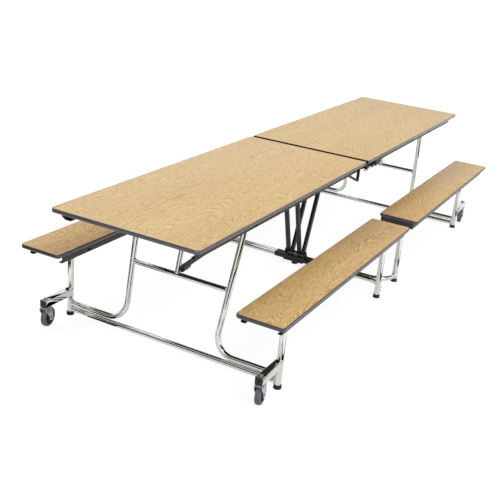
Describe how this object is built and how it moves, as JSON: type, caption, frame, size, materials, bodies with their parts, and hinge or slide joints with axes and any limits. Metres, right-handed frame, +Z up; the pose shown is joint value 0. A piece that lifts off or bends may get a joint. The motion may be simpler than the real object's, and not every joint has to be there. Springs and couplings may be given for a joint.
{
  "type": "cafeteria folding table with benches",
  "caption": "Cafeteria table with attached benches: laminate halves tilt up at the middle on a parallel tube linkage, and the end frames roll together on casters.",
  "frame": {"origin": "on the floor under the middle of the table", "axes": "+X along the table, +Y to the left bench, +Z up"},
  "size_m": [3.658, 1.416, 0.737],
  "materials": {
    "oak_laminate": "satin oak-print laminate",
    "edge_moulding": "moulded dark edge",
    "chrome_tube": "polished chrome plate",
    "charcoal_steel": "charcoal powder coat",
    "black_steel": "black powder coat",
    "foot_rubber": "moulded black rubber",
    "wheel_rubber": "non-marking grey tread",
    "fork_steel": "zinc-plated pressed steel"
  },
  "bodies": {
    "near_end_frame": {"near_base_tube": "chrome_tube", "near_crossbar": "chrome_tube", "near_upright_left": "chrome_tube", "near_leg_left": "chrome_tube", "near_foot_left": "foot_rubber", "near_upright_right": "chrome_tube", "near_leg_right": "chrome_tube", "near_foot_right": "foot_rubber"},
    "near_table": {"near_table_board": "oak_laminate", "near_table_edge": "edge_moulding", "near_apron_left": "charcoal_steel", "near_apron_right": "charcoal_steel", "near_strut_bracket": "black_steel", "near_lift_handle": "black_steel"},
    "far_table": {"far_table_board": "oak_laminate", "far_table_edge": "edge_moulding", "far_apron_left": "charcoal_steel", "far_apron_right": "charcoal_steel", "far_strut_bracket": "black_steel", "far_lift_handle": "black_steel"},
    "center_frame": {"near_center_frame": "chrome_tube", "near_center_foot_left": "foot_rubber", "near_center_foot_right": "foot_rubber", "near_strut_pair": "black_steel", "far_center_frame": "chrome_tube", "far_center_foot_left": "foot_rubber", "far_center_foot_right": "foot_rubber", "far_strut_pair": "black_steel", "hub": "black_steel", "hub_foot": "foot_rubber"},
    "far_end_frame": {"far_base_tube": "chrome_tube", "far_crossbar": "chrome_tube", "far_upright_left": "chrome_tube", "far_leg_left": "chrome_tube", "far_foot_left": "foot_rubber", "far_upright_right": "chrome_tube", "far_leg_right": "chrome_tube", "far_foot_right": "foot_rubber"},
    "near_bench_left": {"near_bench_board_left": "oak_laminate", "near_bench_edge_left": "edge_moulding", "near_bench_frame_left": "charcoal_steel"},
    "near_bench_right": {"near_bench_board_right": "oak_laminate", "near_bench_edge_right": "edge_moulding", "near_bench_frame_right": "charcoal_steel"},
    "near_brace": {"near_brace": "charcoal_steel"},
    "far_bench_left": {"far_bench_board_left": "oak_laminate", "far_bench_edge_left": "edge_moulding", "far_bench_frame_left": "charcoal_steel"},
    "far_bench_right": {"far_bench_board_right": "oak_laminate", "far_bench_edge_right": "edge_moulding", "far_bench_frame_right": "charcoal_steel"},
    "far_brace": {"far_brace": "charcoal_steel"},
    "near_caster_left": {"near_caster_fork_left": "fork_steel"},
    "near_wheel_left": {"near_caster_wheel_left": "wheel_rubber"},
    "near_caster_right": {"near_caster_fork_right": "fork_steel"},
    "near_wheel_right": {"near_caster_wheel_right": "wheel_rubber"},
    "far_caster_left": {"far_caster_fork_left": "fork_steel"},
    "far_wheel_left": {"far_caster_wheel_left": "wheel_rubber"},
    "far_caster_right": {"far_caster_fork_right": "fork_steel"},
    "far_wheel_right": {"far_caster_wheel_right": "wheel_rubber"}
  },
  "joints": [
    {"name": "fold", "type": "hinge", "parent": "near_end_frame", "child": "near_table", "pos_m": [-1.271, 0, 0.69], "axis": [0, -1, 0], "range_deg": [0, 77]},
    {"name": "center_fold", "type": "hinge", "parent": "near_table", "child": "center_frame", "pos_m": [-0.2, 0, 0.69], "axis": [0, -1, 0], "range_deg": [-77, 0]},
    {"name": "far_table_fold", "type": "hinge", "parent": "center_frame", "child": "far_table", "pos_m": [0.2, 0, 0.69], "axis": [0, -1, 0], "range_deg": [-77, 0]},
    {"name": "far_end_fold", "type": "hinge", "parent": "far_table", "child": "far_end_frame", "pos_m": [1.271, 0, 0.69], "axis": [0, -1, 0], "range_deg": [0, 77]},
    {"name": "near_bench_left_fold", "type": "hinge", "parent": "near_end_frame", "child": "near_bench_left", "pos_m": [-1.414, 0.6, 0.388], "axis": [0, -1, 0], "range_deg": [0, 77]},
    {"name": "near_bench_right_fold", "type": "hinge", "parent": "near_end_frame", "child": "near_bench_right", "pos_m": [-1.414, -0.6, 0.388], "axis": [0, -1, 0], "range_deg": [0, 77]},
    {"name": "far_bench_left_fold", "type": "hinge", "parent": "far_end_frame", "child": "far_bench_left", "pos_m": [1.414, 0.6, 0.388], "axis": [0, -1, 0], "range_deg": [-77, 0]},
    {"name": "far_bench_right_fold", "type": "hinge", "parent": "far_end_frame", "child": "far_bench_right", "pos_m": [1.414, -0.6, 0.388], "axis": [0, -1, 0], "range_deg": [-77, 0]},
    {"name": "near_brace_fold", "type": "hinge", "parent": "near_end_frame", "child": "near_brace", "pos_m": [-1.33905, -0.01, 0.394], "axis": [0, -1, 0], "range_deg": [0, 67.3]},
    {"name": "far_brace_fold", "type": "hinge", "parent": "far_end_frame", "child": "far_brace", "pos_m": [1.33905, 0.01, 0.394], "axis": [0, -1, 0], "range_deg": [-67.3, 0]},
    {"name": "near_swivel_left", "type": "hinge", "parent": "near_end_frame", "child": "near_caster_left", "pos_m": [-1.6, 0.6, 0.1], "axis": [0, 0, 1], "continuous": true},
    {"name": "near_wheel_left_spin", "type": "hinge", "parent": "near_caster_left", "child": "near_wheel_left", "pos_m": [-1.5803, 0.60347, 0.05], "axis": [-0.1736, 0.9848, 0], "continuous": true},
    {"name": "near_swivel_right", "type": "hinge", "parent": "near_end_frame", "child": "near_caster_right", "pos_m": [-1.6, -0.6, 0.1], "axis": [0, 0, 1], "continuous": true},
    {"name": "near_wheel_right_spin", "type": "hinge", "parent": "near_caster_right", "child": "near_wheel_right", "pos_m": [-1.5803, -0.59653, 0.05], "axis": [-0.1736, 0.9848, 0], "continuous": true},
    {"name": "far_swivel_left", "type": "hinge", "parent": "far_end_frame", "child": "far_caster_left", "pos_m": [1.6, 0.6, 0.1], "axis": [0, 0, 1], "continuous": true},
    {"name": "far_wheel_left_spin", "type": "hinge", "parent": "far_caster_left", "child": "far_wheel_left", "pos_m": [1.5803, 0.59653, 0.05], "axis": [-0.1736, 0.9848, 0], "continuous": true},
    {"name": "far_swivel_right", "type": "hinge", "parent": "far_end_frame", "child": "far_caster_right", "pos_m": [1.6, -0.6, 0.1], "axis": [0, 0, 1], "continuous": true},
    {"name": "far_wheel_right_spin", "type": "hinge", "parent": "far_caster_right", "child": "far_wheel_right", "pos_m": [1.5803, -0.60347, 0.05], "axis": [-0.1736, 0.9848, 0], "continuous": true}
  ],
  "couplings": [
    {"joint": "center_fold", "follows": "fold", "ratio": -1},
    {"joint": "far_table_fold", "follows": "fold", "ratio": -1},
    {"joint": "far_end_fold", "follows": "fold", "ratio": 1},
    {"joint": "near_bench_left_fold", "follows": "fold", "ratio": 1},
    {"joint": "near_bench_right_fold", "follows": "fold", "ratio": 1},
    {"joint": "far_bench_left_fold", "follows": "fold", "ratio": -1},
    {"joint": "far_bench_right_fold", "follows": "fold", "ratio": -1},
    {"joint": "near_brace_fold", "follows": "fold", "ratio": 0.874},
    {"joint": "far_brace_fold", "follows": "fold", "ratio": -0.874}
  ]
}
